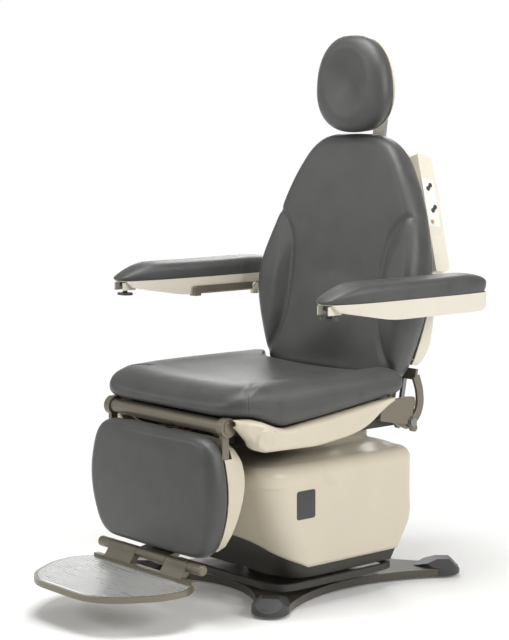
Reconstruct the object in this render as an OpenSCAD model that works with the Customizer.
// Powered ophthalmic examination chair: a lift column on a turntable, a reclining back with
// levelled armrests, a leg rest with a folding foot tray, and a headrest.
// The chair faces -Y, the patient's left hand is towards +X, and the floor is at Z = 0.
// Origin: on the floor under the middle of the whole chair. The modules take their Y places
// from a datum plane origin_y behind it.

/* [Base plate] */
// Sideways place of each lobe's centre
lobe_x = 245; // [235:1:255]
// Front-to-back place of each lobe's centre
lobe_y = 292; // [280:1:300]
// Radius of each lobe
lobe_r = 42; // [40:1:48]
// Half width of the plate at its waist
waist_x = 197; // [195:1:202]
// Half length of the plate at its waist
waist_y = 214; // [206:1:222]
// Thickness of the plate
plate_t = 20; // [16:1:24]
// Gap under the plate
floor_gap = 5; // [4:0.5:8]
// Half width of a corner cap
cap_w = 48; // [46:1:52]
// Inward reach of a corner cap from its lobe's centre
cap_in = 72; // [70:1:73]
// Outward reach of a corner cap from its lobe's centre
cap_out = 45; // [44:1:52]
// Height of a corner cap above the plate
cap_rise = 20; // [14:1:22]
// Radius of a levelling foot
foot_r = 18; // [14:1:24]
// Radius of a levelling foot's stud
foot_stud_r = 5; // [4:0.5:6]

/* [Turntable and brake] */
// Inner radius of the bearing ring
ring_in_r = 80; // [74:1:84]
// Outer radius of the bearing ring
ring_out_r = 114; // [108:1:115]
// Thickness of the bearing ring
ring_t = 8; // [6:1:10]
// Radius of the turntable disc
disc_r = 117; // [114:1:118]
// Thickness of the turntable disc
disc_t = 11.7; // [9.7:0.5:13.7]
// Radius of the hub that carries the pan
hub_r = 105; // [96:1:110]
// Height of that hub
hub_h = 23; // [22:0.5:30]
// Travel of the brake rail
brake_travel = 10; // [6:1:10]
// Height of the brake rail's bar
rail_h = 16; // [12:1:16]
// Width of the brake rail's bar
rail_w = 10; // [8:1:12]
// Sideways place of the brake pads
pad_x = 181; // [180:0.5:182]
// Radius of a brake pad
brake_pad_r = 12; // [9:1:13]
// Radius of a brake guide post
post_r = 6; // [5:0.5:7]

/* [Base cover] */
// Half width of the cover
cover_x = 241; // [238:1:248]
// Front of the cover at its top edge
cover_front = 286; // [276:1:290]
// Rear of the cover
cover_rear = 231; // [226:1:236]
// Front of the cover at its lower edge
cover_front_low = 200; // [190:1:206]
// Rear of the cover at its lower edge
cover_rear_low = 163; // [156:1:168]
// Height of the cover
cover_h = 261.5; // [255:0.5:262]
// Drop of the cover's top towards its edges
cover_crown = 14; // [8:1:20]
// Height of the rear's taper above the cover's lower edge
taper_rise = 110; // [90:1:130]
// Height of the skirt that shows under the cover
skirt_show = 26.5; // [18:0.5:32]
// Height of the skirt's pan
pan_h = 86; // [80:1:90]
// Rise of the arch in the cover's front
arch_rise = 58.5; // [40:0.5:66]
// Wall of the cover
cover_wall = 4; // [3:0.5:5]
// Wall of the pan
pan_wall = 4; // [3:0.5:5]

/* [Lift] */
// Column behind the turntable's axis
col_y = 28; // [24:1:36]
// Width of the column's outer stage
col_w = 160; // [156:1:164]
// Wall of each column stage
col_wall = 8; // [6:0.5:9]
// Height of the neck between the cover's top and the seat frame
neck_h = 36; // [34:1:46]
// Radius of the lift cylinder's barrel
barrel_r = 36; // [33:1:40]
// Wall of the barrel and of its stage
barrel_wall = 4; // [3:0.5:5]

/* [Seat] */
// Leg rest's axis in front of the turntable's axis
bar_y = 376; // [374:0.5:380]
// Height of the leg rest's axis above the seat frame's underside
bar_rise = 65; // [63:0.5:67]
// Radius of the front bar
bar_r = 17.5; // [15:0.5:18]
// Half length of the front bar
bar_x = 206; // [202:1:208]
// Recline axis behind the turntable's axis
hinge_y = 221; // [219:0.5:224]
// Height of the recline axis above the seat frame's underside
hinge_rise = 12.6; // [11.6:0.1:13]
// Thickness of the seat frame's column plate
frame_t = 8; // [6:1:8]
// Height of the seat frame's rails
frame_rail_h = 34; // [34:1:38]
// Half width of the seat frame
frame_x = 213; // [211:0.5:213.5]
// Width of each rail
frame_rail_w = 28; // [20:1:30]
// Thickness of the seat pan
seat_pan_t = 6; // [4:1:8]
// Half width of the seat cushion
seat_x = 279; // [277:1:284]
// Front of the seat cushion
seat_front = 391; // [388:1:393]
// Rear of the seat cushion
seat_rear = 119; // [114:1:121]
// Height of the seat cushion's middle above the seat pan
seat_h = 102; // [92:1:106]
// Half width over the side covers
side_x = 274; // [272:1:276]
// Depth of the side covers
side_depth = 38; // [36:1:40]

/* [Back] */
// Angle of the back behind vertical at rest
back_tilt = 8.5; // [6:0.5:10]
// Largest recline from rest
recline_travel = 72; // [60:1:74]
// Back's face plane ahead of the recline axis
back_ahead = 110; // [108:0.5:112]
// Height of the seat line above the recline axis, along the back
back_lift = 120; // [118:1:124]
// Half width of the back cushion
back_x = 290; // [282:1:296]
// Height of the back cushion above the seat line
back_h = 594; // [584:1:598]
// Thickness of the back cushion's body
back_t = 95; // [90:1:95]
// Thickness of the back frame's plate
back_plate_t = 5; // [4:0.5:5]
// Depth of the back shell behind the frame's plate
back_shell_d = 64; // [62:1:68]
// Wall of the back, leg rest, arm and headrest shells
shell_wall = 3; // [2:0.5:3.5]

/* [Headrest] */
// Half width of the headrest pad
head_x = 124; // [112:1:130]
// Height of the headrest pad
head_h = 248; // [236:1:256]
// Height of the headrest's middle above the back cushion's top
head_rise = 124; // [122:1:140]
// Headrest's front face ahead of its tilt axis
head_lead = 116.5; // [106.5:0.5:118.5]
// Thickness of the headrest pad
head_t = 56; // [48:1:60]
// Depth of the headrest shell
head_shell_d = 16; // [16:1:24]
// Width of the headrest post
head_post_w = 40; // [40:1:60]
// Thickness of the headrest post
head_post_t = 10; // [10:1:14]

/* [Armrests] */
// Sideways place of each armrest
arm_x = 386; // [384:1:392]
// Front of the armrests
arm_front = 241; // [240:1:256]
// Rear of the armrests
arm_rear = 290; // [286:1:296]
// Half width of the armrests
arm_half_w = 49; // [45:1:49.5]
// Height of the arm shaft above the recline axis
arm_rise = 307.4; // [304.4:0.5:309.4]
// Arm shaft behind the recline axis
arm_back = 58; // [56:1:60]
// Armrest's own hinge ahead of the arm shaft
arm_hinge_ahead = 101; // [94:1:106]
// Depth of an arm shell below its pad
arm_shell_d = 44; // [38:1:46]
// Thickness of an arm pad
arm_pad_t = 46; // [38:1:50]

/* [Leg rest and foot tray] */
// Half width of the leg rest pad
leg_x = 243; // [236:1:246]
// Top of the leg rest pad below its axis
leg_top = 22; // [20:1:26]
// Bottom of the leg rest pad below its axis
leg_bottom = 312; // [306:1:314]
// Back of the leg rest pad ahead of its axis
leg_ahead = 14; // [13:0.5:16]
// Thickness of the leg rest pad
leg_t = 58; // [50:1:60]
// Depth of the leg rest shell behind its plate
leg_shell_d = 56; // [48:1:58]
// Largest swing of the leg rest
leg_travel = 80; // [70:1:82]
// Foot hinge ahead of the leg rest's axis
foot_hinge_ahead = 53.5; // [52:0.5:58]
// Foot hinge below the leg rest's axis
foot_hinge_drop = 331; // [330:1:334]
// Radius of the foot hinge's knuckles
knuckle_r = 13; // [11:0.5:13.5]
// Half length of the foot hinge
foot_hinge_x = 200; // [190:1:206]
// Half width of the foot tray
tray_x = 219; // [214:1:230]
// Depth of the foot tray ahead of its hinge
tray_d = 268; // [260:1:290]

/* [Controls] */
// Length of the control housing
panel_l = 312; // [296:2:320]
// Width of the control housing
panel_w = 52; // [50:1:54]

/* [Fits] */
// Gap between pieces that face each other
gap = 0.3; // [0.2:0.05:0.4]
// Radial clearance of a pin in its hole
pin_fit = 0.05; // [0.02:0.01:0.1]
// How far a cut runs past a face
over = 2; // [1:0.5:4]

/* [Hidden] */
$fn = 64;
origin_y = 166;
bend_steps = 6;
shell_steps = 3;

// Colours
beige = [0.84, 0.80, 0.72];
off_white = [0.90, 0.90, 0.86];
taupe = [0.50, 0.47, 0.41];
dark_taupe = [0.23, 0.22, 0.20];
vinyl = [0.34, 0.34, 0.33];
dark_grey = [0.22, 0.22, 0.22];
steel = [0.62, 0.63, 0.65];
bright = [0.80, 0.81, 0.82];
bronze = [0.60, 0.48, 0.28];
tan_button = [0.70, 0.60, 0.42];

// Heights of the base, from the floor up
plate_top = floor_gap + plate_t;
disc_z = plate_top + ring_t + gap;
pan_z = disc_z + disc_t + hub_h;
pan_floor = pan_z + pan_wall;
pan_top = pan_z + pan_h;
cover_z = pan_z + skirt_show;
cover_top = cover_z + cover_h;
cover_edge_z = cover_top - cover_crown;

// Heights of the seat, from the column up
col_h = cover_top + neck_h - pan_floor;
frame_z = pan_floor + col_h;
frame_top = frame_z + frame_t;
seat_pan_z = frame_top + frame_rail_h;
cushion_z = seat_pan_z + seat_pan_t;
bar_z = frame_z + bar_rise;
hinge_z = frame_z + hinge_rise;

// The arm shaft and the back's seat line, from the recline axis
arm_shaft_y = hinge_y + arm_back;
arm_shaft_z = hinge_z + arm_rise;
line_z = hinge_z + back_ahead * sin(back_tilt) + back_lift * cos(back_tilt);

// A corner as a short curve between two straight edges
function unit(v) = v / norm(v);
edge_share = 0.49;
function bend(a, p, b, cut, steps) = cut <= 0 ? [p] :
    let (c = min(cut, edge_share * norm(a - p), edge_share * norm(b - p)),
        s = p + unit(a - p) * c, e = p + unit(b - p) * c)
    [for (i = [0:steps]) let (t = i / steps)
        s * pow(1 - t, 2) + p * 2 * t * (1 - t) + e * pow(t, 2)];
function rounded(points, cuts, steps = bend_steps) = let (m = len(points)) [for (i = [0:m - 1])
    each bend(points[(i + m - 1) % m], points[i], points[(i + 1) % m], cuts[i], steps)];
function box_points(low, high) = [low, [high.x, low.y], high, [low.x, high.y]];
function scaled(shares, size) = [for (s = shares) [s.x * size.x, s.y * size.y]];
function mirrored(points) = concat(points, [for (i = [len(points) - 1:-1:0]) [-points[i].x, points[i].y]]);
function dense(points, pitch) = let (m = len(points)) [for (i = [0:m - 1])
    let (a = points[i], b = points[(i + 1) % m], k = max(1, ceil(norm(b - a) / pitch)))
    for (j = [0:k - 1]) mix(a, b, j / k)];
function twice(list) = concat(list, [for (i = [len(list) - 1:-1:0]) list[i]]);
function ease(t) = t < 0 ? 0 : t > 1 ? 1 : t * t * (3 - 2 * t);
function mix(a, b, t) = a + (b - a) * t;

// Extrusions whose outline is given in [Y, Z] or in [X, Z], and rods
module along_x(x0, x1) translate([x0, 0, 0]) rotate([90, 0, 90]) linear_extrude(x1 - x0) children();
module along_y(y0, y1) translate([0, y1, 0]) rotate([90, 0, 0]) linear_extrude(y1 - y0) children();
module rod_x(r, x0, x1, y, z) translate([x0, y, z]) rotate([0, 90, 0]) cylinder(r = r, h = x1 - x0);
module rod_y(r, y0, y1, x, z) translate([x, y1, z]) rotate([90, 0, 0]) cylinder(r = r, h = y1 - y0);
module rod_z(r, z0, z1, x = 0, y = 0) translate([x, y, z0]) cylinder(r = r, h = z1 - z0);
module block(low, high) translate(low) cube(high - low);
module both_sides() {
    children();
    mirror([1, 0, 0]) children();
}

// The back's own frame: X as the chair's, Y rearward from the back's face, Z up along the back
module in_back() {
    translate([0, hinge_y, hinge_z]) rotate([-back_tilt, 0, 0])
        translate([0, -back_ahead, back_lift]) children();
}

// A closed soft form: each ring is the outline drawn in by a share, at a share of the thickness.
// spot() puts an outline point and a thickness share in space.
module soft_form(outline, middle, rings, spot) {
    n = len(outline);
    m = len(rings);
    points = concat([spot(middle, rings[0].y)],
        [for (r = rings, p = outline) spot(middle + (p - middle) * r.x, r.y)],
        [spot(middle, rings[m - 1].y)]);
    first = [for (i = [0:n - 1]) [0, 1 + (i + 1) % n, 1 + i]];
    body = [for (j = [0:m - 2], i = [0:n - 1]) let (a = 1 + j * n + i, b = 1 + j * n + (i + 1) % n)
        each [[a, b, b + n], [a, b + n, a + n]]];
    last = [for (i = [0:n - 1]) let (a = 1 + (m - 1) * n) [a + i, a + (i + 1) % n, n * m + 1]];
    polyhedron(points, concat(first, body, last));
}
// Rings of a pad: a narrow underside, upright sides, a rounded edge and a crowned top
pad_side = 0.5;
function pad_rings(edge, foot, arc_n, top_n) = concat(
    [[1 - foot, 0], [1 - foot / 4, 0.1], [1, 0.28], [1, pad_side]],
    [for (k = [1:arc_n]) let (a = 90 * k / arc_n)
        [1 - edge * (1 - cos(a)), pad_side + (1 - pad_side) * sin(a)]],
    [for (k = [1:top_n]) [(1 - edge) * (1 - k / (top_n + 1)), 1]]);

// Base plate: four lobes joined by arcs that touch them
function bow(along, across, waist) =
    (pow(along, 2) + pow(across - waist, 2) - pow(lobe_r, 2)) / (2 * (across - waist + lobe_r));
side_bow = bow(lobe_y, lobe_x, waist_x);
end_bow = bow(lobe_x, lobe_y, waist_y);
lobe = [lobe_x, lobe_y];
side_touch = lobe + unit([waist_x + side_bow, 0] - lobe) * lobe_r;
end_touch = lobe + unit([0, waist_y + end_bow] - lobe) * lobe_r;
lobe_signs = [[1, 1], [-1, 1], [-1, -1], [1, -1]];
module plate_outline() {
    difference() {
        union() {
            polygon(mirrored([[end_touch.x, -end_touch.y], [side_touch.x, -side_touch.y], side_touch, end_touch]));
            for (s = lobe_signs) translate([s.x * lobe.x, s.y * lobe.y]) circle(lobe_r);
        }
        for (s = [-1, 1]) {
            translate([s * (waist_x + side_bow), 0]) circle(side_bow, $fn = 160);
            translate([0, s * (waist_y + end_bow)]) circle(end_bow, $fn = 160);
        }
    }
}
module at_lobes() for (s = lobe_signs) translate([s.x * lobe.x, col_y + s.y * lobe.y, 0])
    rotate([0, 0, atan2(s.y * lobe.y, s.x * lobe.x) - 90]) children();
module base_plate() color(taupe) difference() {
    translate([0, col_y, floor_gap]) linear_extrude(plate_t) plate_outline();
    at_lobes() rod_z(foot_stud_r + pin_fit, floor_gap - over, plate_top + over);
}

// Corner caps: leaf-shaped pods with a flat top facet, which wrap the lobes' ends
cap_hem = 3;
cap_room_r = 14;
stud_end = 6;
cap_room_h = 8;
cap_lip = 1.5;
cap_rim = 8;
cap_flat_share = 0.44;
// Half plan, outward along Y
cap_shares = [[0.2, -1], [0.88, -0.4], [1, 0.2], [0.5, 1]];
cap_cuts = [10, 30, 30, 24];
cap_top = plate_top + cap_rise;
module cap_form() intersection() {
    linear_extrude(cap_top) polygon(rounded(mirrored([for (s = cap_shares)
        [s.x * cap_w, s.y * (s.y < 0 ? cap_in : cap_out)]]), twice(cap_cuts)));
    along_x(-cap_w, cap_w) polygon([[-cap_in, 0], [cap_out, 0], [cap_out, plate_top - cap_rim],
        [cap_out * 0.4, cap_top], [-cap_room_r, cap_top], [-cap_in, plate_top + cap_lip]]);
    along_y(-cap_in, cap_out) polygon(mirrored([[cap_w, floor_gap + cap_hem], [cap_w, plate_top - cap_lip],
        [cap_w * cap_flat_share, cap_top]]));
}
module corner_caps() color(dark_grey) difference() {
    at_lobes() cap_form();
    translate([0, col_y, -over]) linear_extrude(plate_top + over) plate_outline();
    at_lobes() rod_z(cap_room_r, plate_top - over, plate_top + cap_room_h);
}
module levelling_feet() color(dark_grey) at_lobes() {
    rod_z(foot_r, 0, floor_gap);
    rod_z(foot_stud_r, 0, plate_top + stud_end);
}

// Turntable: a ring on the plate guides a disc, whose hub carries the pan
module bearing_ring() color(steel) difference() {
    rod_z(ring_out_r, plate_top, plate_top + ring_t, 0, col_y);
    rod_z(ring_in_r, plate_top - over, plate_top + ring_t + over, 0, col_y);
}
module turntable_disc() color(steel) {
    rod_z(ring_in_r - pin_fit, plate_top + gap, disc_z + over, 0, col_y);
    rod_z(disc_r, disc_z, disc_z + disc_t, 0, col_y);
    rod_z(hub_r, disc_z, pan_z, 0, col_y);
}

// The form that the cover and the pan share: a front that slopes back, a rear that tapers in
// low down, a crowned top and rounded upright edges
front_slope = (cover_front - cover_front_low) / (cover_h - cover_crown);
rear_slope = (cover_rear - cover_rear_low) / taper_rise;
top_run = 70;
edge_cut = 16;
crown_cut = 50;
taper_cut = 45;
front_corner = 78;
rear_corner = 56;
module base_form(inset, z0, z1) intersection() {
    low = z0 - over - cover_z;
    along_x(-cover_x + inset, cover_x - inset) polygon(rounded([
        [-cover_front_low - front_slope * low + inset, cover_z + low],
        [cover_rear_low + rear_slope * low - inset, cover_z + low],
        [cover_rear - inset, cover_z + taper_rise],
        [cover_rear - inset, cover_edge_z - inset],
        [cover_rear - top_run, cover_top - inset],
        [-cover_front + top_run, cover_top - inset],
        [-cover_front + inset, cover_edge_z - inset]],
        [0, 0, taper_cut, edge_cut, crown_cut, crown_cut, edge_cut]));
    translate([0, -cover_front, cover_edge_z]) rotate([atan(front_slope), 0, 0])
        translate([0, 0, -2 * cover_h]) linear_extrude(3 * cover_h)
            polygon(rounded(box_points([-cover_x + inset, inset], [cover_x - inset, 3 * cover_front]),
                [front_corner, front_corner, 0, 0]));
    translate([0, 0, z0]) linear_extrude(z1 - z0)
        polygon(rounded(box_points([-cover_x + inset, -2 * cover_front], [cover_x - inset, cover_rear - inset]),
            [0, 0, rear_corner, rear_corner]));
}
pan_in = cover_wall + gap;
post_x = 205;
module skirt_pan() color(dark_taupe) difference() {
    base_form(pan_in, pan_z, pan_top);
    base_form(pan_in + pan_wall, pan_floor, pan_top + over);
    both_sides() rod_z(post_r + pin_fit, pan_z - over, pan_floor + over, post_x, 0);
}

// Base cover with its arch in front and a plinth round the column
plinth_x = 140;
plinth_y = 145;
plinth_h = 26;
plinth_wall = 4;
plinth_cut = 40;
col_room = 4;
module around_column(x, y, cut) translate([0, col_y, 0])
    polygon(rounded(box_points([-x, -y], [x, y]), [cut, cut, cut, cut]));
module base_cover() color(beige) difference() {
    arch_r = (pow(cover_x - over, 2) + pow(arch_rise, 2)) / (2 * arch_rise);
    union() {
        base_form(0, cover_z, cover_top + over);
        translate([0, 0, cover_edge_z]) linear_extrude(cover_crown + plinth_h)
            around_column(plinth_x, plinth_y, plinth_cut);
    }
    base_form(cover_wall, cover_z - over, cover_top);
    rod_y(arch_r, -2 * cover_front, -cover_front_low / 2, 0, cover_z + arch_rise - arch_r, $fn = 128);
    translate([0, 0, cover_top]) linear_extrude(plinth_h + over)
        around_column(plinth_x - plinth_wall, plinth_y - plinth_wall, plinth_cut - plinth_wall);
    translate([0, 0, cover_z]) linear_extrude(cover_h + over)
        around_column(col_w / 2 + col_room, col_w / 2 + col_room, col_room);
}

// Three square column stages, each sliding in the one outside it
col_top = cover_top - 6 * gap;
col_step = 4;
stage_in = col_wall + gap;
module stage(half, z0, z1) difference() {
    block([-half, col_y - half, z0], [half, col_y + half, z1]);
    block([-half + col_wall, col_y - half + col_wall, z0 - over],
        [half - col_wall, col_y + half - col_wall, z1 + over]);
}
flange_w = 20;
module outer_column() color(steel) {
    stage(col_w / 2, pan_floor, col_top);
    difference() {
        block([-col_w / 2 - flange_w, col_y - col_w / 2 - flange_w, pan_floor],
            [col_w / 2 + flange_w, col_y + col_w / 2 + flange_w, pan_floor + col_wall]);
        block([-col_w / 2 + col_wall, col_y - col_w / 2 + col_wall, pan_floor - over],
            [col_w / 2 - col_wall, col_y + col_w / 2 - col_wall, pan_floor + col_wall + over]);
    }
}
module middle_column() color(steel) stage(col_w / 2 - stage_in, pan_floor + col_step, col_top);
module inner_column() color(steel) stage(col_w / 2 - 2 * stage_in, pan_floor + 2 * col_step, frame_z);

// Telescopic lift cylinder inside the column, and its electric power pack in front of it
barrel_room = 52;
barrel_h = col_h - barrel_room;
module lift_cylinder() color(dark_grey) difference() {
    rod_z(barrel_r, pan_floor, pan_floor + barrel_h, 0, col_y);
    rod_z(barrel_r - barrel_wall, pan_floor + col_step, pan_floor + barrel_h + over, 0, col_y);
}
cyl_stage_r = barrel_r - barrel_wall - pin_fit;
ram_r = cyl_stage_r - barrel_wall - pin_fit;
module cylinder_stage() color(bright) difference() {
    rod_z(cyl_stage_r, pan_floor + 2 * col_step, pan_floor + barrel_h + col_step, 0, col_y);
    rod_z(cyl_stage_r - barrel_wall, pan_floor + col_step, pan_floor + barrel_h + 2 * col_step, 0, col_y);
}
module lift_ram() color(bright) rod_z(ram_r, pan_floor + 3 * col_step, frame_z, 0, col_y);
tank_x = 110;
tank_y = 90;
tank_h = 96;
motor_r = 38;
motor_l = 96;
valve_w = 30;
pack_front = 180;
module power_pack() color(dark_grey) {
    block([-tank_x, -pack_front, pan_floor], [-valve_w, -pack_front + tank_y, pan_floor + tank_h]);
    block([-valve_w - over, -pack_front + over, pan_floor], [0, -pack_front + tank_y - over, pan_floor + motor_r * 2]);
    rod_x(motor_r, -over, motor_l, -pack_front + tank_y / 2, pan_floor + motor_r);
}

// Brake rail: a bar round the foot of the pan; pressed down, its pads grip the base plate
rail_drop = 3.7;
rail_top = pan_z - gap - rail_drop;
rail_z = rail_top - rail_h;
rail_out = 10;
rail_corner = 66;
rail_front = cover_front_low + 42;
rail_rear = cover_rear_low - 4;
shoulder_w = 3;
spring_h = 26;
collar_h = 4;
collar_w = 5;
bar_w = 16;
module rail_outline(inset) polygon(rounded(
    box_points([-cover_x - rail_out + inset, -rail_front + inset], [cover_x + rail_out - inset, rail_rear - inset]),
    [for (i = [0:3]) rail_corner - inset]));
module brake_rail() color(taupe) {
    translate([0, 0, rail_z]) linear_extrude(rail_h) difference() {
        rail_outline(0);
        rail_outline(rail_w);
    }
    both_sides() {
        block([pad_x - brake_pad_r / 2, -bar_w / 2, rail_z], [cover_x + rail_out - rail_w / 2, bar_w / 2, rail_top]);
        rod_z(post_r + shoulder_w, rail_top - over, rail_top + rail_drop, post_x, 0);
        rod_z(post_r, rail_z, pan_floor + spring_h + collar_h, post_x, 0);
        rod_z(post_r + collar_w, pan_floor + spring_h, pan_floor + spring_h + collar_h, post_x, 0);
    }
}
pad_lift = 1;
module brake_pads() color(dark_grey)
    both_sides() rod_z(brake_pad_r, plate_top + brake_travel + pad_lift, rail_z, pad_x, 0);
spring_wall = 2.5;
module brake_springs() color(steel) both_sides() difference() {
    rod_z(post_r + gap + spring_wall, pan_floor, pan_floor + spring_h, post_x, 0);
    rod_z(post_r + gap, pan_floor - over, pan_floor + spring_h + over, post_x, 0);
}

// Seat frame: column plate, rails, cross members, pan and ears of the front bar
plate_half = 90;
rail_front_gap = 76;
cross_w = 28;
cross_a_y = -100;
cross_b_y = 118;
motor_slot = 40;
pan_half = 236;
pan_front = 345;
pan_rear = 105;
tongue_rear = 160;
bracket_w = 8;
ear_x = 150;
ear_w = 8;
ear_dip = 12;
side_post_r = 7;
side_post_y = [-250, -20];
side_post_z = [25, 33];
gear_motor_r = 16;
gear_motor_drop = 16.4;
gear_motor_z = seat_pan_z - gear_motor_drop;
actuator_r = 16;
actuator_drop = 47;
actuator_z = bar_z - actuator_drop;
side_in = side_x - shell_wall;
module seat_frame() color(dark_taupe) difference() {
    union() {
        block([-plate_half, cross_a_y, frame_z], [plate_half, cross_b_y + cross_w, frame_top]);
        both_sides() {
            block([frame_x - frame_rail_w, -bar_y + rail_front_gap, frame_top],
                [frame_x, hinge_y - back_tube_r - shell_wall, seat_pan_z]);
            block([motor_slot - over, cross_b_y, frame_top], [frame_x - over, cross_b_y + cross_w, seat_pan_z]);
            along_x(ear_x, ear_x + ear_w) polygon([[-bar_y + rail_front_gap + over, frame_top + over],
                [-bar_y + rail_front_gap + over, seat_pan_z], [-pan_front - ear_w, seat_pan_z],
                [-bar_y + bar_r, bar_z + bar_r / 2], [-bar_y, bar_z + bar_r / 2], [-bar_y, bar_z - ear_dip],
                [-pan_front - ear_w, bar_z - 2.5 * ear_dip]]);
            for (i = [0:1])
                rod_x(side_post_r, frame_x - over, side_in, side_post_y[i], frame_z + side_post_z[i]);
        }
        block([-frame_x + over, cross_a_y, frame_top], [frame_x - over, cross_a_y + cross_w, seat_pan_z]);
        block([-frame_x + over, -bar_y + rail_front_gap, frame_top],
            [frame_x - over, -bar_y + rail_front_gap + cross_w, seat_pan_z]);
        block([-pan_half, -pan_front, seat_pan_z], [pan_half, pan_rear, cushion_z]);
        block([-motor_slot, pan_rear - over, seat_pan_z], [motor_slot, tongue_rear, cushion_z]);
        block([-motor_slot, tongue_rear - bracket_w, frame_top], [motor_slot, tongue_rear, seat_pan_z + over]);
    }
    rod_y(gear_motor_r + pin_fit, 0, hinge_y, 0, gear_motor_z);
    rod_y(actuator_r + pin_fit, -bar_y, cross_a_y, 0, actuator_z);
    block([-lug_t / 2 - lug_room, -pan_front - over, seat_pan_z - over],
        [lug_t / 2 + lug_room, -pan_front + lug_w / 2, cushion_z + over]);
    rod_x(bar_r + pin_fit, -bar_x, bar_x, -bar_y, bar_z);
}
neck_gap = 2;
neck_wall = 3;
module neck_cover() color(beige) difference() {
    nx = plinth_x - plinth_wall - neck_gap;
    ny = plinth_y - plinth_wall - neck_gap;
    nc = plinth_cut - plinth_wall;
    translate([0, 0, cover_top + neck_gap]) linear_extrude(frame_z - cover_top - neck_gap)
        around_column(nx, ny, nc);
    translate([0, 0, cover_top]) linear_extrude(frame_z - cover_top - neck_wall)
        around_column(nx - neck_wall, ny - neck_wall, nc - neck_wall);
    translate([0, 0, cover_top]) linear_extrude(frame_z - cover_top + over)
        around_column(col_w / 2 - 2 * stage_in, col_w / 2 - 2 * stage_in, 0);
}

// Hinge plates: an outer plate on an inner ear, which holds the pivot bolt and the lower pin of
// the levelling link
ear_t = 9;
plate_layer = frame_x + ear_t + 2;
arm_plate_t = 8;
bolt_r = 8;
bolt_head_r = 12;
bolt_head_t = 5;
back_tube_r = 12;
link_offset = 24;
link_pin_r = 5;
link_x = 160;
link_t = 8;
ear_boss_r = 18;
link_boss_r = 10;
hub_gap = 2.5;
hub_out_r = 14;
// Offset of the levelling link from the recline axis, square to it at half recline
link_turn = atan2(arm_rise, arm_back) - recline_travel / 2 - 90;
link_dy = link_offset * cos(link_turn);
link_dz = link_offset * sin(link_turn);
// Outlines [Y, Z] from the recline axis, as shares of the plate's reach and height
plate_reach = 114;
plate_rise = 66;
outer_plate_shares = [[-1, 0.23], [-0.22, -0.05], [-0.03, 0.02], [0.02, 0.45], [0.1, 0.73], [0.06, 0.97],
    [-0.18, 1], [-0.95, 0.92]];
ear_shares = [[-0.9, 0.35], [-0.1, -0.27], [0.13, 0], [0.12, 0.6], [0.08, 0.85], [-0.8, 0.8]];
module hinge_plate() {
    translate([0, hinge_y, hinge_z]) {
        difference() {
            union() {
                along_x(plate_layer - over, plate_layer + arm_plate_t) difference() {
                    polygon(rounded(scaled(outer_plate_shares, [plate_reach, plate_rise]),
                        [for (i = [0:7]) hub_gap * 2]));
                    circle(hub_out_r + hub_gap);
                }
                along_x(frame_x, plate_layer - gap) {
                    polygon(scaled(ear_shares, [plate_reach, plate_rise]));
                    circle(ear_boss_r);
                    translate([link_dy, link_dz]) circle(link_boss_r);
                    polygon([[0, ear_boss_r / 2], [-ear_boss_r / 2, 0],
                        [link_dy - link_boss_r / 2, link_dz - link_boss_r / 2],
                        [link_dy + link_boss_r / 2, link_dz + link_boss_r / 2]]);
                }
                along_x(frame_x, plate_layer) difference() {
                    polygon(scaled(ear_shares * 0.8, [plate_reach, plate_rise]));
                    circle(hub_out_r + hub_gap);
                }
            }
            rod_x(bolt_r + pin_fit, 0, cover_x, 0, 0);
        }
        link_pin(frame_x + over);
    }
}
// A pin of the levelling link with its riveted head
rivet_r = 7;
rivet_t = 2;
module link_pin(root) {
    rod_x(link_pin_r, link_x - gap - over, root, link_dy, link_dz);
    rod_x(rivet_r, link_x - gap - rivet_t, link_x - gap, link_dy, link_dz);
}
module hinge_plates() color(taupe) both_sides() hinge_plate();
module pivot_bolts() color(steel) both_sides() {
    rod_x(bolt_r, frame_x + over, plate_layer + arm_plate_t + gap + over, hinge_y, hinge_z);
    rod_x(bolt_head_r, plate_layer + arm_plate_t + gap, plate_layer + arm_plate_t + gap + bolt_head_t,
        hinge_y, hinge_z, $fn = 6);
}
spigot_r = 12;
ring_w = 20;
bar_cap_r = 15;
bar_cap_w = 3;
bar_wall = 3;
module front_bar() color(taupe) difference() {
    union() {
        rod_x(bar_r, -bar_x, bar_x, -bar_y, bar_z);
        rod_x(spigot_r, -bar_x - ring_w - 2, bar_x + ring_w + 2, -bar_y, bar_z);
        both_sides() rod_x(bar_cap_r, bar_x + ring_w + 1.5, bar_x + ring_w + bar_cap_w, -bar_y, bar_z);
    }
    rod_x(spigot_r - bar_wall, -bar_x - ring_w, bar_x + ring_w, -bar_y, bar_z);
}

// Side covers: shallow trays with a wavy upper edge, a sharp nose and a round boss
wave_low_y = -229;
wave_run = 120;
wave_rise = 32;
wave_low = 5;
wave_slope = 0.109;
function side_top(y) = cushion_z + wave_low +
    (y > wave_low_y ? (y - wave_low_y) * wave_slope : wave_rise * ease((wave_low_y - y) / wave_run));
side_nose = 374;
side_tail = 118;
side_steps = 14;
side_notch = [[-356, 6], [-358, -8]];
side_belly = [[-336, -28], [-297, -46], [-133, -49], [36, -20]];
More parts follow.
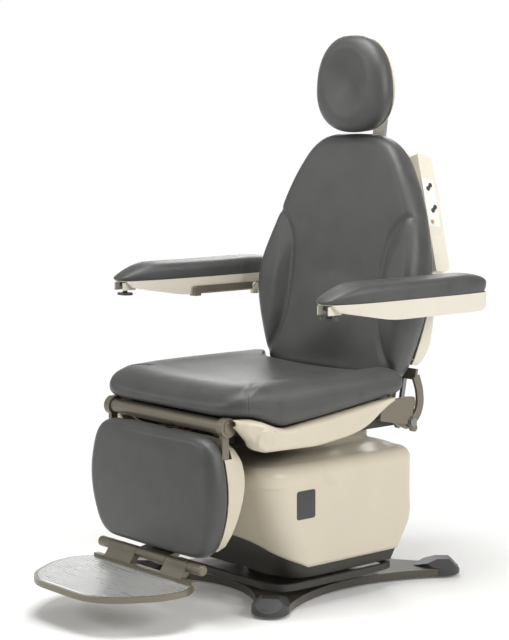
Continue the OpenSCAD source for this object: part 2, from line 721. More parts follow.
// Plan of the cover: its outer face bends inward at the nose
side_plan = [[-40, 376], [-14, 350], [0, 306], [0, -130]];
side_boss_y = -300;
side_boss_r = 29;
side_boss_z = -17;
side_boss_t = 2;
side_round = 9;
function side_points(in) = concat(
    [for (i = [0:side_steps]) let (y = mix(-side_nose + 2 * in, side_tail - 2.5 * in, i / side_steps))
        [y, side_top(y) - in]],
    [for (i = [3:-1:0]) [side_belly[i].x, cushion_z + side_belly[i].y + in]],
    [for (i = [1:-1:0]) [side_notch[i].x + in, cushion_z + side_notch[i].y]]);
module side_plan_form(in) translate([0, 0, frame_z / 2]) linear_extrude(frame_z)
    polygon(rounded(concat([for (p = side_plan) [side_x + p.x - in, -p.y + (p.x < 0 ? in : 0)]],
        [[side_x - side_depth - side_round, -side_plan[3].y],
            [side_x - side_depth - side_round, -side_plan[0].y + in]]),
        [4, 20, 30, 0, 0, 0], shell_steps));
module side_cover() {
    difference() {
        intersection() {
            union() {
                along_x(side_x - side_depth, side_x - side_round) polygon(side_points(0));
                along_x(side_x - side_depth, side_x - side_round / 3) polygon(side_points(side_round / 5));
                along_x(side_x - side_depth, side_x) polygon(side_points(side_round / 2));
            }
            side_plan_form(0);
        }
        intersection() {
            along_x(side_x - side_depth - over, side_in) polygon(side_points(side_round / 2 + shell_wall));
            side_plan_form(shell_wall);
        }
    }
    rod_x(side_boss_r, side_in, side_x + side_boss_t, side_boss_y, cushion_z + side_boss_z);
}
module side_cover_left() color(beige) side_cover();
module side_cover_right() color(beige) mirror([1, 0, 0]) side_cover();

// Seat cushion: it rests on the pan, and steps out over the side covers and the front bar
seat_mid_y = (seat_rear - seat_front) / 2;
seat_corner = 90;
seat_rear_corner = 60;
seat_step_gap = 2;
seat_foot_share = 0.84;
seat_side_rise = 16;
seat_nose_drop = 26;
seat_nose_run = 90;
bar_room = 4;
function seat_under(y) = max(side_top(y) + seat_step_gap,
    y < -bar_y + bar_r + seat_step_gap * 3 ? bar_z + bar_r + bar_room : 0);
function seat_crown(p) = cushion_z + seat_h + seat_side_rise * pow(p.x / seat_x, 2)
    - seat_nose_drop * pow(max(0, (-seat_front + seat_nose_run - p.y) / seat_nose_run), 2);
seat_rings = [[seat_foot_share / 2, -1], [seat_foot_share, -1], [seat_foot_share, -0.3],
    [seat_foot_share + 0.02, 0], [0.955, 0.04], [0.985, 0.16], [1, 0.36], [1, 0.55], [0.985, 0.72],
    [0.955, 0.86], [0.905, 0.96], [0.84, 1], [0.66, 1], [0.44, 1], [0.22, 1]];
seat_pitch = 48;
module seat_cushion() color(vinyl) soft_form(
    dense(rounded([[-seat_x * 0.93, -seat_front], [seat_x * 0.93, -seat_front], [seat_x, seat_mid_y],
        [seat_x * 0.93, seat_rear], [-seat_x * 0.93, seat_rear], [-seat_x, seat_mid_y]],
        [seat_corner, seat_corner, seat_corner, seat_rear_corner, seat_rear_corner, seat_corner]),
        seat_pitch),
    [0, seat_mid_y], seat_rings, function(p, t)
        [p.x, p.y, t <= 0 ? mix(seat_under(p.y), cushion_z, -t) : mix(seat_under(p.y), seat_crown(p), t)]);

// Worm gearmotor of the back's cross tube, and the leg rest's actuator
gear_r = 30;
gear_x = 20;
gear_motor_front = 22;
module back_gearmotor() color(dark_grey) difference() {
    union() {
        rod_x(gear_r, -gear_x, gear_x, hinge_y, hinge_z);
        rod_y(gear_motor_r, gear_motor_front, hinge_y - back_tube_r - over, 0, gear_motor_z);
    }
    rod_x(back_tube_r + pin_fit, -gear_x - over, gear_x + over, hinge_y, hinge_z);
}
actuator_front = 326;
rod_r = 7;
rod_fork_x = 13;
fork_gap_x = 6;
fork_l = 36;
fork_r = 9;
fork_pin_r = 5;
rod_back = 160;
leg_crank_run = actuator_drop * tan(leg_travel / 2);
rod_eye_y = -bar_y + leg_crank_run;
module leg_actuator() color(dark_grey) difference() {
    rod_y(actuator_r, -actuator_front + fork_l, cross_a_y, 0, actuator_z);
    rod_y(rod_r + pin_fit, -actuator_front, -rod_back + over + gap, 0, actuator_z);
}
module leg_actuator_rod() color(bright) {
    rod_y(rod_r, rod_eye_y + fork_l - shell_wall, -rod_back, 0, actuator_z);
    difference() {
        union() {
            rod_x(fork_r, -rod_fork_x, rod_fork_x, rod_eye_y, actuator_z);
            block([-rod_fork_x, rod_eye_y, actuator_z - fork_r], [rod_fork_x, rod_eye_y + fork_l, actuator_z + fork_r]);
        }
        block([-fork_gap_x, rod_eye_y - fork_r - over, actuator_z - fork_r - over],
            [fork_gap_x, rod_eye_y + fork_l - shell_wall * 2, actuator_z + fork_r + over]);
    }
    rod_x(fork_pin_r, -rod_fork_x, rod_fork_x, rod_eye_y, actuator_z);
}

// Leg rest, placed from its axis: Y positive to the rear, Z positive up
module at_bar() translate([0, -bar_y, bar_z]) children();
leg_plate_t = 5;
leg_plate_x = 188;
leg_strap = [52, 74];
hanger_w = 12;
hanger_r = 23;
lug_t = 11;
lug_w = 28;
lug_start = 38;
lug_end = 73;
lug_room = 1.5;
slot_room = 3.4;
slot_in = actuator_drop - fork_pin_r - 1;
slot_out = actuator_drop / cos(leg_travel / 2) + fork_pin_r + 1;
lug_root = 24;
web_t = 9;
knuckle_low = -45;
knuckle_high = 68;
module foot_web() {
    // The web under the pad, from the plate's lower edge to the long knuckle
    rod_x(knuckle_r, knuckle_low, knuckle_high, -foot_hinge_ahead, -foot_hinge_drop);
    along_x(knuckle_low, knuckle_high) polygon([
        [-foot_hinge_ahead - knuckle_r / 2, -foot_hinge_drop], [-foot_hinge_ahead + knuckle_r / 2, -foot_hinge_drop - web_t],
        [-leg_ahead + leg_plate_t, -leg_bottom - web_t / 2], [-leg_ahead + leg_plate_t, -leg_bottom + lug_root],
        [-leg_ahead + gap, -leg_bottom + lug_root], [-leg_ahead + gap, -leg_bottom - gap * 2],
        [-foot_hinge_ahead, -foot_hinge_drop + knuckle_r - gap]]);
}
module leg_rest_frame() color(taupe) at_bar() difference() {
    union() {
        both_sides() {
            rod_x(hanger_r, bar_x + 1, bar_x + ring_w + 1, 0, 0);
            block([bar_x + 2, -leg_ahead + gap, -leg_strap[1]], [bar_x + 2 + hanger_w, spigot_r / 2, -spigot_r / 2]);
        }
        block([-bar_x - 2 - hanger_w, -leg_ahead + gap, -leg_strap[1]],
            [bar_x + 2 + hanger_w, -leg_ahead + leg_plate_t, -leg_strap[0]]);
        along_y(-leg_ahead + gap, -leg_ahead + leg_plate_t) polygon(rounded(
            box_points([-leg_plate_x, -leg_bottom + lug_root / 2], [leg_plate_x, -leg_strap[0]]),
            [lug_end, lug_end, lug_root, lug_root]));
        along_x(-lug_t / 2, lug_t / 2) {
            rotate(-90 + leg_travel / 2) translate([lug_start, -lug_w / 2]) square([lug_end - lug_start, lug_w]);
            polygon([[-leg_ahead + over, -leg_strap[0] + lug_root], [-leg_ahead + over, -leg_strap[1] - lug_root],
                [lug_root, -lug_end], [lug_root, -lug_root]]);
        }
        foot_web();
    }
    rod_x(spigot_r + pin_fit, -cover_x, cover_x, 0, 0);
    rod_x(pin_r + pin_fit, knuckle_low - over, knuckle_high + over, -foot_hinge_ahead, -foot_hinge_drop);
    along_x(-lug_t, lug_t) rotate(-90 + leg_travel / 2)
        translate([slot_in, -fork_pin_r - slot_room]) square([slot_out - slot_in, (fork_pin_r + slot_room) * 2]);
}
leg_h = leg_bottom - leg_top;
// Right half of the leg rest's outline, as shares of its half width and its height
leg_shares = [[0.84, 0], [0.99, 0.36], [1.01, 0.6], [0.9, 1]];
leg_cuts = [74, 60, 60, 84];
function leg_outline(in, steps = bend_steps) = rounded(mirrored([for (s = leg_shares)
    [s.x * (leg_x - in), -leg_bottom + in + s.y * (leg_h - 2 * in)]]), twice(leg_cuts), steps);
shell_in = 7;
module leg_shell_form(in) intersection() {
    along_y(-leg_ahead + leg_plate_t + gap - (in > 0 ? over : 0), leg_shell_d)
        polygon(leg_outline(shell_in + in, shell_steps));
    along_x(-leg_x, leg_x) polygon(rounded([[-leg_ahead, -leg_bottom], [6, -leg_bottom + in],
        [leg_shell_d - leg_ahead - in, -leg_h * 0.45], [leg_shell_d - leg_ahead - in, -leg_h * 0.28],
        [leg_ahead, -leg_top - in - shell_in], [-leg_ahead, -leg_top]], [0, 8, 60, 30, 12, 0], shell_steps));
}
module leg_rest_shell() color(beige) at_bar() difference() {
    leg_shell_form(0);
    leg_shell_form(shell_wall);
    // Slots for the lug and for the hangers' strap
    block([-lug_t, -leg_ahead, -lug_end - over], [lug_t, leg_shell_d, 0]);
    block([-cover_x, -leg_ahead, -leg_strap[1] - gap], [cover_x, -leg_ahead + leg_plate_t + 2 * gap, 0]);
    both_sides() block([bar_x, -leg_ahead, -leg_strap[1] - gap], [cover_x, leg_ahead, 0]);
}
leg_crown = 9;
module leg_rest_pad() color(vinyl) at_bar() soft_form(leg_outline(0), [0, -(leg_top + leg_bottom) / 2],
    pad_rings(0.13, 0.04, 4, 4), function(p, t) [p.x, -leg_ahead - t * (leg_t - leg_crown
        * (pow(p.x / leg_x, 2) + pow((p.y + (leg_top + leg_bottom) / 2) / leg_h * 2, 2))), p.y]);
pin_r = 7;
pin_cap = 50;
module foot_hinge_pin() color(taupe) at_bar() {
    rod_x(pin_r, -foot_hinge_x + over, foot_hinge_x - over, -foot_hinge_ahead, -foot_hinge_drop);
    both_sides() translate([0, -foot_hinge_ahead, -foot_hinge_drop]) rotate([0, 90, 0]) rotate_extrude()
        polygon(rounded([[0, foot_hinge_x - pin_cap], [knuckle_r, foot_hinge_x - pin_cap],
            [knuckle_r, foot_hinge_x], [0, foot_hinge_x]], [0, 1, knuckle_r * 0.7, 0]));
}

// Foot tray, placed from the foot hinge's axis
module at_foot() translate([0, -bar_y - foot_hinge_ahead, bar_z - foot_hinge_drop]) children();
tray_low = [32, 46];
tray_rim = 8;
tread_t = 4;
flange_l = 191;
flange_y = [16, 30];
knuckle_gap = 1;
// Half outline of the tray [X, Y] as shares of its half width and its depth, from the hinge
tray_shares = [[0.84, -0.05], [1, -0.22], [0.98, -0.5], [0.72, -0.86], [0.44, -1]];
tray_cuts = [14, 30, 50, 40, 60];
function tray_outline(in, steps = bend_steps) = rounded(mirrored([for (s = tray_shares)
    [s.x * (tray_x - in), s.y * (tray_d - in) - (s.y > -0.1 ? in : 0)]]),
    twice([for (c = tray_cuts) max(c - in, 2)]), steps);
module tray_frame() color(taupe) at_foot() difference() {
    union() {
        difference() {
            translate([0, 0, -tray_low[1]]) linear_extrude(tray_low[1] - tray_low[0]) polygon(tray_outline(0, shell_steps));
            translate([0, 0, -tray_low[0] - tread_t]) linear_extrude(tread_t + over) intersection() {
                polygon(tray_outline(tray_rim, shell_steps));
                translate([-tray_x, -tray_d]) square([2 * tray_x, tray_d - flange_y[1] - gap]);
            }
        }
        block([-flange_l, -flange_y[1], -tray_low[1] + over], [flange_l, -flange_y[0], -tray_low[0] + tray_rim]);
        for (x = [[-foot_hinge_x + pin_cap + knuckle_gap, knuckle_low - knuckle_gap],
            [knuckle_high + knuckle_gap, foot_hinge_x - pin_cap - knuckle_gap]]) {
            rod_x(knuckle_r, x[0], x[1], 0, 0);
            along_x(x[0], x[1]) polygon([[-knuckle_r, 0], [0, -knuckle_r], [-flange_y[0], -tray_low[0] + over],
                [-flange_y[1], -tray_low[0] + over], [-flange_y[1], -tray_low[0] + tray_rim]]);
        }
    }
    rod_x(pin_r + pin_fit, -foot_hinge_x, foot_hinge_x, 0, 0);
}
ridge_pitch = 9;
ridge_w = 2.4;
ridge_h = 1.2;
module tread_shape(first, last) intersection() {
    polygon(tray_outline(tray_rim + gap, shell_steps));
    translate([-tray_x, -last]) square([2 * tray_x, last - first]);
}
module tread_plate() color(bright) at_foot() {
    translate([0, 0, -tray_low[0] - tread_t]) linear_extrude(tread_t)
        tread_shape(flange_y[1] + gap, tray_d);
    for (y = [flange_y[1] + ridge_pitch:ridge_pitch:tray_d - tray_rim * 2])
        translate([0, 0, -tray_low[0] - tread_t / 2]) linear_extrude(tread_t / 2 + ridge_h)
            tread_shape(y, y + ridge_w);
}

// Back, in its own frame. Right half of its outline as shares of half width and height
back_shares = [[0.82, -0.05], [0.93, 0.14], [1, 0.34], [0.92, 0.56], [0.74, 0.79], [0.44, 1]];
back_cuts = [40, 70, 75, 60, 60, 80];
back_foot = -0.05;
function back_outline(in, steps = bend_steps) = rounded(mirrored([for (s = back_shares)
    [s.x * (back_x - in), back_foot * back_h + in + (s.y - back_foot) * (back_h - 2 * in / (1 - back_foot))]]),
    twice(back_cuts), steps);
plate_w = back_t + 1;
frame_w = plate_w + back_plate_t;
upright_x = 140;
upright_w = 25;
upright_t = 20;
upright_drop = 94;
upright_top = back_h - upright_drop;
plate_in = 48;
plate_foot = 20;
tube_end = 212;
arm_hub_r = hub_out_r;
arc_w = 22;
arc_points = [[110, -120], [128, -98], [133, -70], [124, -36], [106, -4]];
arc_foot = 14;
guide_x = 31;
guide_t = 22;
guide_drop = 19;
guide_l = 245;
guide_high = back_h - guide_drop;
guide_low = guide_high - guide_l;
shaft_w = back_ahead + arm_back * cos(back_tilt) - arm_rise * sin(back_tilt);
shaft_v = arm_back * sin(back_tilt) + arm_rise * cos(back_tilt) - back_lift;
shaft_r = 9;
bush_r = 13;
bearing_x = [186, 206];
bearing_r = 17;
post_gap = 3;
// The curved arm's outline, of even width
function along(points, i) = unit(points[min(i + 1, len(points) - 1)] - points[max(i - 1, 0)]);
function side_of(points, w) = [for (i = [0:len(points) - 1]) let (d = along(points, i))
    points[i] + [-d.y, d.x] * w];
module back_frame() color(taupe) in_back() difference() {
    union() {
        along_y(plate_w, frame_w) intersection() {
            polygon(back_outline(plate_in, shell_steps));
            translate([-back_x, plate_foot]) square([2 * back_x, back_h - plate_foot * 2]);
        }
        rod_x(back_tube_r, -tube_end, tube_end, back_ahead, -back_lift);
        both_sides() {
            block([upright_x - upright_w / 2, frame_w - over / 2, -back_lift],
                [upright_x + upright_w / 2, frame_w + upright_t, upright_top]);
            along_x(plate_layer, plate_layer + arm_plate_t) {
                translate([back_ahead, -back_lift]) circle(arm_hub_r);
                polygon(rounded(concat(side_of(arc_points, arc_w / 2),
                    [for (i = [4:-1:0]) side_of(arc_points, -arc_w / 2)[i]]),
                    [0, 14, 14, 12, 0, 0, 12, 14, 14, 0]));
            }
            block([upright_x, frame_w, -arc_foot], [plate_layer + arm_plate_t, frame_w + arm_plate_t, arc_foot]);
            along_x(bearing_x[0], bearing_x[1]) {
                translate([shaft_w, shaft_v]) circle(bearing_r);
                translate([frame_w - over, shaft_v - bearing_r])
                    square([shaft_w - frame_w + over, 2 * bearing_r]);
            }
        }
        block([-guide_x, frame_w - over / 2, guide_low], [guide_x, frame_w + guide_t, guide_high]);
    }
    rod_x(back_tube_r - bar_wall, -tube_end - over, -gear_x * 2, back_ahead, -back_lift);
    rod_x(back_tube_r - bar_wall, gear_x * 2, tube_end + over, back_ahead, -back_lift);
    both_sides() {
        rod_x(bolt_r + pin_fit, tube_end + over, cover_x, back_ahead, -back_lift);
        rod_x(bush_r + pin_fit, bearing_x[0] - over, bearing_x[1] + over, shaft_w, shaft_v);
    }
    block([-head_post_w / 2 - pin_fit, frame_w + post_gap - pin_fit, guide_low - over],
        [head_post_w / 2 + pin_fit, frame_w + post_gap + head_post_t + pin_fit, guide_high + over]);
}
module arm_bushes() color(bronze) in_back() both_sides() difference() {
    rod_x(bush_r, bearing_x[0], bearing_x[1], shaft_w, shaft_v);
    rod_x(shaft_r + pin_fit, bearing_x[0] - over, bearing_x[1] + over, shaft_w, shaft_v);
}

// Back shell: a tray behind the frame, open in front and at its foot
back_shell_in = 26;
shell_foot = 22;
shaft_room = 3;
foot_open_x = 190;
// Side view [depth, height] and top view [half width, depth], as shares
shell_side_shares = [[0, 1.1], [0.78, 0.975], [1, 0.88], [1, 0.3], [0.45, 0.06], [0.3, 0.037], [0, 0.037]];
shell_side_cuts = [0, 30, 50, 60, 8, 0, 0];
link_room = 4;
link_slot = 220;
shell_top_shares = [[0.885, -0.1], [0.875, 0.45], [0.65, 1]];
module back_shell_form(in) intersection() {
    translate([0, 0, -back_lift]) linear_extrude(back_h * 2) polygon(rounded(mirrored(
        [for (s = shell_top_shares) [s.x * back_x - in, plate_w + s.y * (back_shell_d - in)]]),
        [0, 16, 16, 16, 16, 0], shell_steps));
    along_y(plate_w - (in > 0 ? over : 0), plate_w + back_shell_d)
        polygon(back_outline(back_shell_in + in, shell_steps));
    along_x(-back_x, back_x) polygon(rounded([for (s = shell_side_shares)
        [plate_w + (s.x == 0 ? -over : s.x * (back_shell_d - in)),
            s.y == 0.037 ? shell_foot + in : s.y * back_h - in]], shell_side_cuts, shell_steps));
}
module back_shell() color(off_white) in_back() difference() {
    back_shell_form(0);
    back_shell_form(shell_wall);
    // The foot is open for the frame, and slotted for the levelling links
    block([-foot_open_x, plate_w - over, shell_foot - over],
        [foot_open_x, frame_w + guide_t, 2 * shell_foot]);
    both_sides() block([link_x - link_room, frame_w, shell_foot - over],
        [crank_x + crank_t + link_room, plate_w + back_shell_d + over, link_slot]);
    both_sides() rod_x(shaft_r + shaft_room, bearing_x[1], back_x, shaft_w, shaft_v);
    block([-guide_x - 1, frame_w - over, guide_high - over * 5], [guide_x + 1, frame_w + guide_t + 1, back_h]);
    label_zone();
}

// Back cushion: side bolsters, a lumbar bulge and the channels between them
bolster_rise = 24;
bolster_v = 190;
bolster_run = 170;
lumbar_rise = 12;
lumbar_v = 95;
lumbar_run = 110;
back_front_in = 4;
back_pitch = 60;
function hump(t) = pow(cos(90 * min(1, abs(t))), 2);
function back_front(p) = back_front_in
    - bolster_rise * hump((p.y - bolster_v) / bolster_run) * hump((abs(p.x) / back_x - 0.8) / 0.34)
    - lumbar_rise * hump((p.y - lumbar_v) / lumbar_run) * hump(p.x / back_x / 0.5);
back_mid = [0, back_h * 0.42];
module back_cushion() color(vinyl) in_back() soft_form(dense(back_outline(0), back_pitch), back_mid,
    pad_rings(0.13, 0.03, 4, 5), function(p, t) [p.x, mix(back_t, back_front(p), t), p.y]);

// Control housing on the shell's left edge: X across its face, Y up it, Z outward
panel_x = 220;
panel_v = 385;
panel_lean = 21;
panel_low = -130;
panel_w0 = 97;
panel_depth = 70;
panel_wall = 3;
label_t = 0.8;
module in_panel() translate([panel_x, 0, panel_v]) rotate([0, -panel_lean, 0]) rotate([90, 0, 90])
    translate([0, 0, -panel_depth]) children();
function panel_outline(in) = rounded(box_points([panel_w0 + in, panel_low + in],
    [panel_w0 + panel_w - in, panel_low + panel_l - in]), [2, 45 - in, 70 - in, 2]);
label_side = 14;
label_foot = 12;
label_head = 22;
label_cut = 6;
module label_outline(grow) polygon(rounded(
    box_points([panel_w0 + key_stop.x - label_side - grow, key_stop.y - label_foot - grow],
        [panel_w0 + icon_at.x + label_side / 2 + grow, key_back.y + label_head + grow]),
    [for (i = [0:3]) label_cut + grow]));
label_depth = 14;
module label_zone() in_panel() translate([0, 0, panel_depth - label_depth])
    linear_extrude(label_depth + over) label_outline(gap);
key_back = [23, 94];
key_lift = [28, 36];
key_stop = [14, 0];
icon_at = [36, 0];
rocker_r = 5.5;
rocker_half = 7.5;
rocker_turn = 45;
rocker_room = 0.5;
rocker_out = 2.2;
rocker_in = 4;
trunnion_r = 1;
trunnion_l = 8;
button_r = 5;
button_out = 2.5;
button_flange_r = 6.5;
button_flange_t = 1.6;
module key_shape(grow) rotate(rocker_turn) {
    for (s = [-1, 1]) translate([s * rocker_half, 0]) circle(rocker_r + grow);
    translate([-rocker_half, -rocker_r * 0.72 - grow]) square([2 * rocker_half, 2 * (rocker_r * 0.72 + grow)]);
}
module key_holes(grow) {
    for (k = [key_back, key_lift]) translate([panel_w0 + k.x, k.y]) key_shape(grow);
    translate([panel_w0 + key_stop.x, key_stop.y]) circle(button_r + grow);
}
module at_trunnion(k) translate([panel_w0 + k.x, k.y, panel_depth - panel_wall / 2])
    rotate([0, 0, rocker_turn]) rotate([90, 0, 0]) translate([0, 0, -trunnion_l]) children();
module control_housing() color(off_white) in_back() difference() {
    in_panel() difference() {
        linear_extrude(panel_depth) polygon(panel_outline(0));
        translate([0, 0, -over]) linear_extrude(panel_depth + over - panel_wall) polygon(panel_outline(panel_wall));
        translate([0, 0, -over]) linear_extrude(panel_depth + 2 * over) key_holes(rocker_room);
        for (k = [key_back, key_lift])
            at_trunnion(k) cylinder(r = trunnion_r + pin_fit, h = 2 * trunnion_l + pin_fit);
    }
    difference() {
        back_shell_form(0);
        label_zone();
    }
    block([-back_x, 0, -back_lift], [back_x, plate_w, 2 * back_h]);
}
module control_label() color(dark_grey) in_back() in_panel() translate([0, 0, panel_depth])
    linear_extrude(label_t) difference() {
        label_outline(0);
        key_holes(rocker_room);
    }
module rocker(k) color(dark_grey) in_back() in_panel() {
    translate([panel_w0 + k.x, k.y, panel_depth - rocker_in]) linear_extrude(rocker_in + rocker_out) key_shape(0);
    at_trunnion(k) cylinder(r = trunnion_r, h = 2 * trunnion_l);
}
module rocker_back() rocker(key_back);
module rocker_lift() rocker(key_lift);
module round_button() color(tan_button) in_back() in_panel() translate([panel_w0 + key_stop.x, key_stop.y, panel_depth]) {
    rod_z(button_r, -panel_wall - gap - over, button_out);
    rod_z(button_flange_r, -panel_wall - gap - button_flange_t, -panel_wall - gap);
}

// Headrest: a flat post in the back's guide, a clamp hinge at its head and a padded shell
post_in = 20;
post_neck = 45;
head_hinge_w = 84;
head_hinge_rise = 106;
head_hinge = [head_hinge_w, back_h + head_hinge_rise];
post_low = guide_low + post_in;
post_top = head_hinge.y - post_neck;
head_boss_r = 14;
head_boss_x = 18;
neck_half = 9;
post_w0 = frame_w + post_gap;
head_bolt_r = 6;
module headrest_post() color(bright) in_back() difference() {
    union() {
        block([-head_post_w / 2, post_w0, post_low], [head_post_w / 2, post_w0 + head_post_t, post_top]);
        rod_x(head_boss_r, -head_boss_x, head_boss_x, head_hinge.x, head_hinge.y);
        along_x(-head_boss_x, head_boss_x) polygon([[post_w0, post_top - head_boss_r],
            [post_w0 + head_post_t, post_top - head_boss_r], [post_w0 + head_post_t, post_top],
            [head_hinge.x + neck_half, head_hinge.y], [head_hinge.x - neck_half, head_hinge.y - neck_half],
            [post_w0, post_top - over]]);
    }
    rod_x(head_bolt_r + pin_fit, -head_boss_x - over, head_boss_x + over, head_hinge.x, head_hinge.y);
}
head_mid_z = line_z + (back_h + head_rise) * cos(back_tilt);
head_axis_y = hinge_y + (head_hinge.x - back_ahead) * cos(back_tilt) + (head_hinge.y + back_lift) * sin(back_tilt);
head_axis_z = hinge_z - (head_hinge.x - back_ahead) * sin(back_tilt) + (head_hinge.y + back_lift) * cos(back_tilt);
head_front = head_axis_y - head_lead;
head_back_y = head_front + head_t + head_shell_d;
head_ear_t = 8;
head_plate_t = 4;
head_plate = [42, 34];
module headrest_bracket() color(taupe) difference() {
    union() {
        block([-head_plate.x, head_back_y, head_axis_z - head_plate.y],
            [head_plate.x, head_back_y + head_plate_t, head_axis_z + head_plate.y]);
        both_sides() along_x(head_boss_x + 1, head_boss_x + 1 + head_ear_t) {
            translate([head_axis_y, head_axis_z]) circle(head_boss_r);
            polygon([[head_back_y + over, head_axis_z - head_plate.y], [head_axis_y, head_axis_z - head_boss_r],
                [head_axis_y, head_axis_z + head_boss_r], [head_back_y + over, head_axis_z + head_plate.y]]);
        }
    }
    rod_x(head_bolt_r + pin_fit, -2 * head_plate.x, 2 * head_plate.x, head_axis_y, head_axis_z);
}
knob_r = 20;
knob_l = 26;
knob_grips = 8;
knob_grip_r = 5;
module headrest_knob() color(dark_grey) mirror([1, 0, 0]) translate([0, head_axis_y, head_axis_z]) {
    ear_out = head_boss_x + 1 + head_ear_t;
    rod_x(head_bolt_r, -ear_out - 1, ear_out + over, 0, 0);
    rod_x(head_bolt_r + 4, -ear_out - 7, -ear_out - 1, 0, 0, $fn = 6);
    difference() {
        rod_x(knob_r, ear_out + 1, ear_out + 1 + knob_l, 0, 0);
        for (k = [0:knob_grips - 1]) rotate([360 * k / knob_grips, 0, 0])
            rod_x(knob_grip_r, ear_out + 8, ear_out + 2 + knob_l, 0, knob_r + knob_grip_r * 0.55);
    }
}
head_shares = [[0.5, -0.5], [0.9, -0.42], [1.01, -0.14], [0.96, 0.2], [0.74, 0.44], [0.36, 0.5]];
head_cuts = [60, 60, 60, 60, 60, 60];
function head_outline(in, steps = bend_steps) = rounded(mirrored([for (s = head_shares)
    [s.x * (head_x - in), head_mid_z + s.y * (head_h - 2 * in)]]), twice([for (c = head_cuts) c - in]), steps);
head_dimple = 9;
module headrest_pad() color(vinyl) soft_form(dense(head_outline(0), 2 * bend_steps * 4), [0, head_mid_z],
    pad_rings(0.3, 0.05, 5, 3), function(p, t) [p.x, head_front + head_t - t * (head_t
        - head_dimple * hump(norm([p.x, p.y - head_mid_z]) / head_x / 0.7)), p.y]);
module headrest_shell() color(off_white) intersection() {
    along_y(head_front + head_t + gap, head_back_y) polygon(head_outline(6, shell_steps));
    along_x(-head_x, head_x) polygon(rounded([[head_front + head_t, head_mid_z - head_h / 2],
        [head_back_y, head_mid_z - head_h * 0.36], [head_back_y, head_mid_z + head_h * 0.36],
        [head_front + head_t, head_mid_z + head_h / 2]], [0, 24, 24, 0], shell_steps));
}

// Arm carriers: a shaft, a crank for the levelling link, and the bar of the armrest's hinge
crank_x = link_x + link_t + 2;
crank_t = 10;
crank_web_share = 0.9;
crank_side = unit([link_dz, -link_dy]) * crank_web_share;
hub_in = 282;
bar_in = 322;
arm_bar_t = 11;
arm_bar_h = 18;
arm_bar_front = -30;
arm_bar_back = 11;
arm_pin_r = 7;
arm_pivot_y = arm_shaft_y - arm_hinge_ahead;
arm_low_z = arm_shaft_z - 12;
ledge = [12, 20, 3.5];
hub_r2 = 14;
module arm_carrier() difference() {
    union() {
        rod_x(shaft_r, crank_x, bar_in + over, arm_shaft_y, arm_shaft_z);
        rod_x(hub_r2, hub_in, bar_in + over, arm_shaft_y, arm_shaft_z);
        translate([0, arm_shaft_y, arm_shaft_z]) {
            along_x(crank_x, crank_x + crank_t) {
                circle(bush_r);
                translate([link_dy, link_dz]) circle(link_boss_r);
                polygon([crank_side * bush_r, -crank_side * bush_r,
                    [link_dy, link_dz] - crank_side * link_boss_r, [link_dy, link_dz] + crank_side * link_boss_r]);
            }
            link_pin(crank_x + over);
        }
        along_x(bar_in, bar_in + arm_bar_t) polygon(rounded(
            box_points([arm_bar_front, arm_shaft_z - arm_bar_h / 2 + over],
                [arm_shaft_y + arm_bar_back, arm_shaft_z + arm_bar_h / 2 + over]), [4, 8, 8, 8]));
        block([bar_in, arm_bar_front, arm_low_z - ledge.z],
            [bar_in + arm_bar_t, arm_bar_front + ledge.y, arm_shaft_z]);
        block([bar_in, arm_bar_front, arm_low_z - ledge.z],
            [bar_in + arm_bar_t + ledge.x, arm_bar_front + ledge.y, arm_low_z - gap]);
    }
    rod_x(arm_pin_r + pin_fit, bar_in - over, bar_in + arm_bar_t + over, arm_pivot_y, arm_shaft_z);
}
module arm_carrier_left() color(taupe) arm_carrier();
module arm_carrier_right() color(taupe) mirror([1, 0, 0]) arm_carrier();
link_half = 6;
link_eye_r = 9;
module level_link() translate([0, hinge_y + link_dy, hinge_z + link_dz]) difference() {
    along_x(link_x, link_x + link_t) {
        circle(link_eye_r);
        translate([arm_back, arm_rise]) circle(link_eye_r);
        rotate(atan2(arm_rise, arm_back)) translate([0, -link_half])
            square([norm([arm_back, arm_rise]), 2 * link_half]);
    }
    rod_x(link_pin_r + pin_fit, link_x - over, link_x + link_t + over, 0, 0);
    rod_x(link_pin_r + pin_fit, link_x - over, link_x + link_t + over, arm_back, arm_rise);
}
module level_link_left() color(steel) level_link();
module level_link_right() color(steel) mirror([1, 0, 0]) level_link();

// Armrests: a moulded tray with a round nose, and a long soft pad
arm_top_z = arm_low_z + arm_shell_d;
// Plan [share of the half width, share of the length from the nose]
arm_plan_shares = [[0.44, 0], [0.86, 0.13], [1, 0.3], [1, 0.82], [0.8, 1]];
arm_plan_cuts = [20, 30, 60, 60, 34];
arm_l = arm_front + arm_rear;
function arm_plan(in) = rounded(mirrored([for (s = arm_plan_shares)
    [s.x * (arm_half_w - in), -arm_front + in + s.y * (arm_l - 2 * in)]]),
    twice([for (c = arm_plan_cuts) c - in]));
arm_nose_z = 27;
arm_nose_back = 32;
module arm_side(in) polygon(rounded([[-arm_front + arm_nose_back + in, arm_low_z + arm_nose_z + in],
    [-arm_front * 0.24, arm_low_z + in], [arm_rear * 0.9, arm_low_z + in],
    [arm_rear + over, arm_low_z + arm_shell_d / 2 + in], [arm_rear + over, arm_top_z + (in > 0 ? over : 0)],
    [-arm_front + arm_nose_back / 2 + in, arm_top_z + (in > 0 ? over : 0)]], [2, 40, 20, 0, 0, 0]));
arm_wall = 3;
hinge_box = [28, 18];
hinge_box_z = [3, 22];
lever_y = -212;
lever_z = 34;
lever_slot = [16, 20];
lever_pin_r = 3;
lever_pin_half = 19;
hip_stub = [-36, 22, 12, 11];
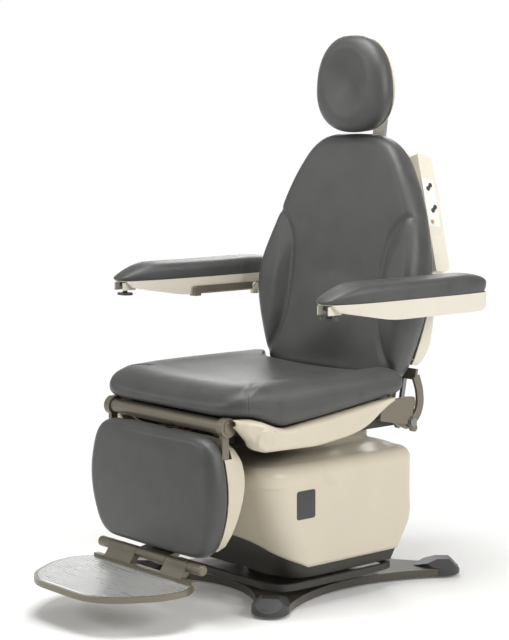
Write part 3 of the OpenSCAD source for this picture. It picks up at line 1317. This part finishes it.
module arm_shell() {
    difference() {
        union() {
            difference() {
                intersection() {
                    translate([arm_x, 0, 0]) linear_extrude(arm_top_z) polygon(arm_plan(0));
                    along_x(arm_x - arm_half_w, arm_x + arm_half_w) arm_side(0);
                }
                intersection() {
                    translate([arm_x, 0, 0]) linear_extrude(arm_top_z + over) polygon(arm_plan(arm_wall));
                    along_x(arm_x - arm_half_w, arm_x + arm_half_w) arm_side(arm_wall);
                }
            }
            block([arm_x - arm_half_w, arm_pivot_y - hinge_box[1], arm_low_z + hinge_box_z[0] - over / 2],
                [arm_x - arm_half_w + hinge_box[0], arm_pivot_y + hinge_box[1], arm_low_z + hinge_box_z[1]]);
            both_sides_of(arm_x) block([lever_slot[0], lever_y - lever_slot[1], arm_low_z + lever_z - 14],
                [lever_slot[0] + arm_wall, lever_y + lever_slot[1], arm_low_z + lever_z + 6]);
        }
        translate([arm_x, lever_y, 0]) block([-lever_slot[0], -lever_slot[1], arm_low_z],
            [lever_slot[0], lever_slot[1], arm_low_z + lever_z + 7]);
        rod_x(lever_pin_r + pin_fit, arm_x - lever_pin_half - pin_fit, arm_x + lever_pin_half + pin_fit,
            lever_y, arm_low_z + lever_z);
    }
    rod_x(arm_pin_r, bar_in - gap - over, arm_x - arm_half_w + over, arm_pivot_y, arm_shaft_z);
    rod_x(arm_pin_r + 3, bar_in - gap - 4, bar_in - gap, arm_pivot_y, arm_shaft_z);
    rod_z(hip_stub[3], arm_low_z - hip_stub[2], arm_low_z + over / 2, arm_x + hip_stub[0], arm_pivot_y + hip_stub[1]);
}
module both_sides_of(x) translate([x, 0, 0]) both_sides() children();
module arm_shell_left() color(off_white) arm_shell();
module arm_shell_right() color(off_white) mirror([1, 0, 0]) arm_shell();
arm_nose_drop = 34;
arm_nose_run = 120;
arm_crown = 6;
module arm_pad() soft_form(dense([for (p = arm_plan(0)) p + [arm_x, 0]], 60),
    [arm_x, (arm_rear - arm_front) / 2], pad_rings(0.3, 0.03, 4, 2), function(p, t)
        [p.x, p.y, arm_top_z + gap + t * (arm_pad_t - gap - arm_crown * pow((p.x - arm_x) / arm_half_w, 2)
            - arm_nose_drop * pow(max(0, (arm_nose_run - arm_front - p.y) / arm_nose_run), 2))]);
module arm_pad_left() color(vinyl) arm_pad();
module arm_pad_right() color(vinyl) mirror([1, 0, 0]) arm_pad();
lever_neck = 5;
lever_drop = 21;
paddle = [22, 15, 6];
module arm_lever() translate([arm_x, lever_y, arm_low_z + lever_z]) {
    rod_x(lever_pin_r, -lever_pin_half, lever_pin_half, 0, 0);
    rod_x(lever_pin_r + 3, -lever_slot[0] + 1, lever_slot[0] - 1, 0, 0);
    block([-lever_neck, -4, -lever_drop - over], [lever_neck, 4, 0]);
    translate([0, 0, -lever_drop - paddle.z]) linear_extrude(paddle.z) polygon(rounded(
        box_points([-paddle.x, -paddle.y], [paddle.x, paddle.y]), [for (i = [0:3]) paddle.y]));
}
module arm_lever_left() color(dark_grey) arm_lever();
module arm_lever_right() color(dark_grey) mirror([1, 0, 0]) arm_lever();

translate([0, origin_y, 0]) {
    base_plate();
    corner_caps();
    levelling_feet();
    bearing_ring();
    turntable_disc();
    skirt_pan();
    base_cover();
    outer_column();
    power_pack();
    lift_cylinder();
    brake_rail();
    brake_pads();
    brake_springs();
    middle_column();
    cylinder_stage();
    inner_column();
    lift_ram();
    seat_frame();
    neck_cover();
    hinge_plates();
    pivot_bolts();
    front_bar();
    side_cover_left();
    side_cover_right();
    seat_cushion();
    back_gearmotor();
    leg_actuator();
    leg_actuator_rod();
    back_frame();
    back_shell();
    back_cushion();
    control_housing();
    control_label();
    arm_bushes();
    rocker_back();
    rocker_lift();
    round_button();
    headrest_post();
    headrest_bracket();
    headrest_shell();
    headrest_pad();
    headrest_knob();
    arm_carrier_left();
    arm_carrier_right();
    level_link_left();
    level_link_right();
    arm_shell_left();
    arm_shell_right();
    arm_pad_left();
    arm_pad_right();
    arm_lever_left();
    arm_lever_right();
    leg_rest_frame();
    leg_rest_shell();
    leg_rest_pad();
    foot_hinge_pin();
    tray_frame();
    tread_plate();
}
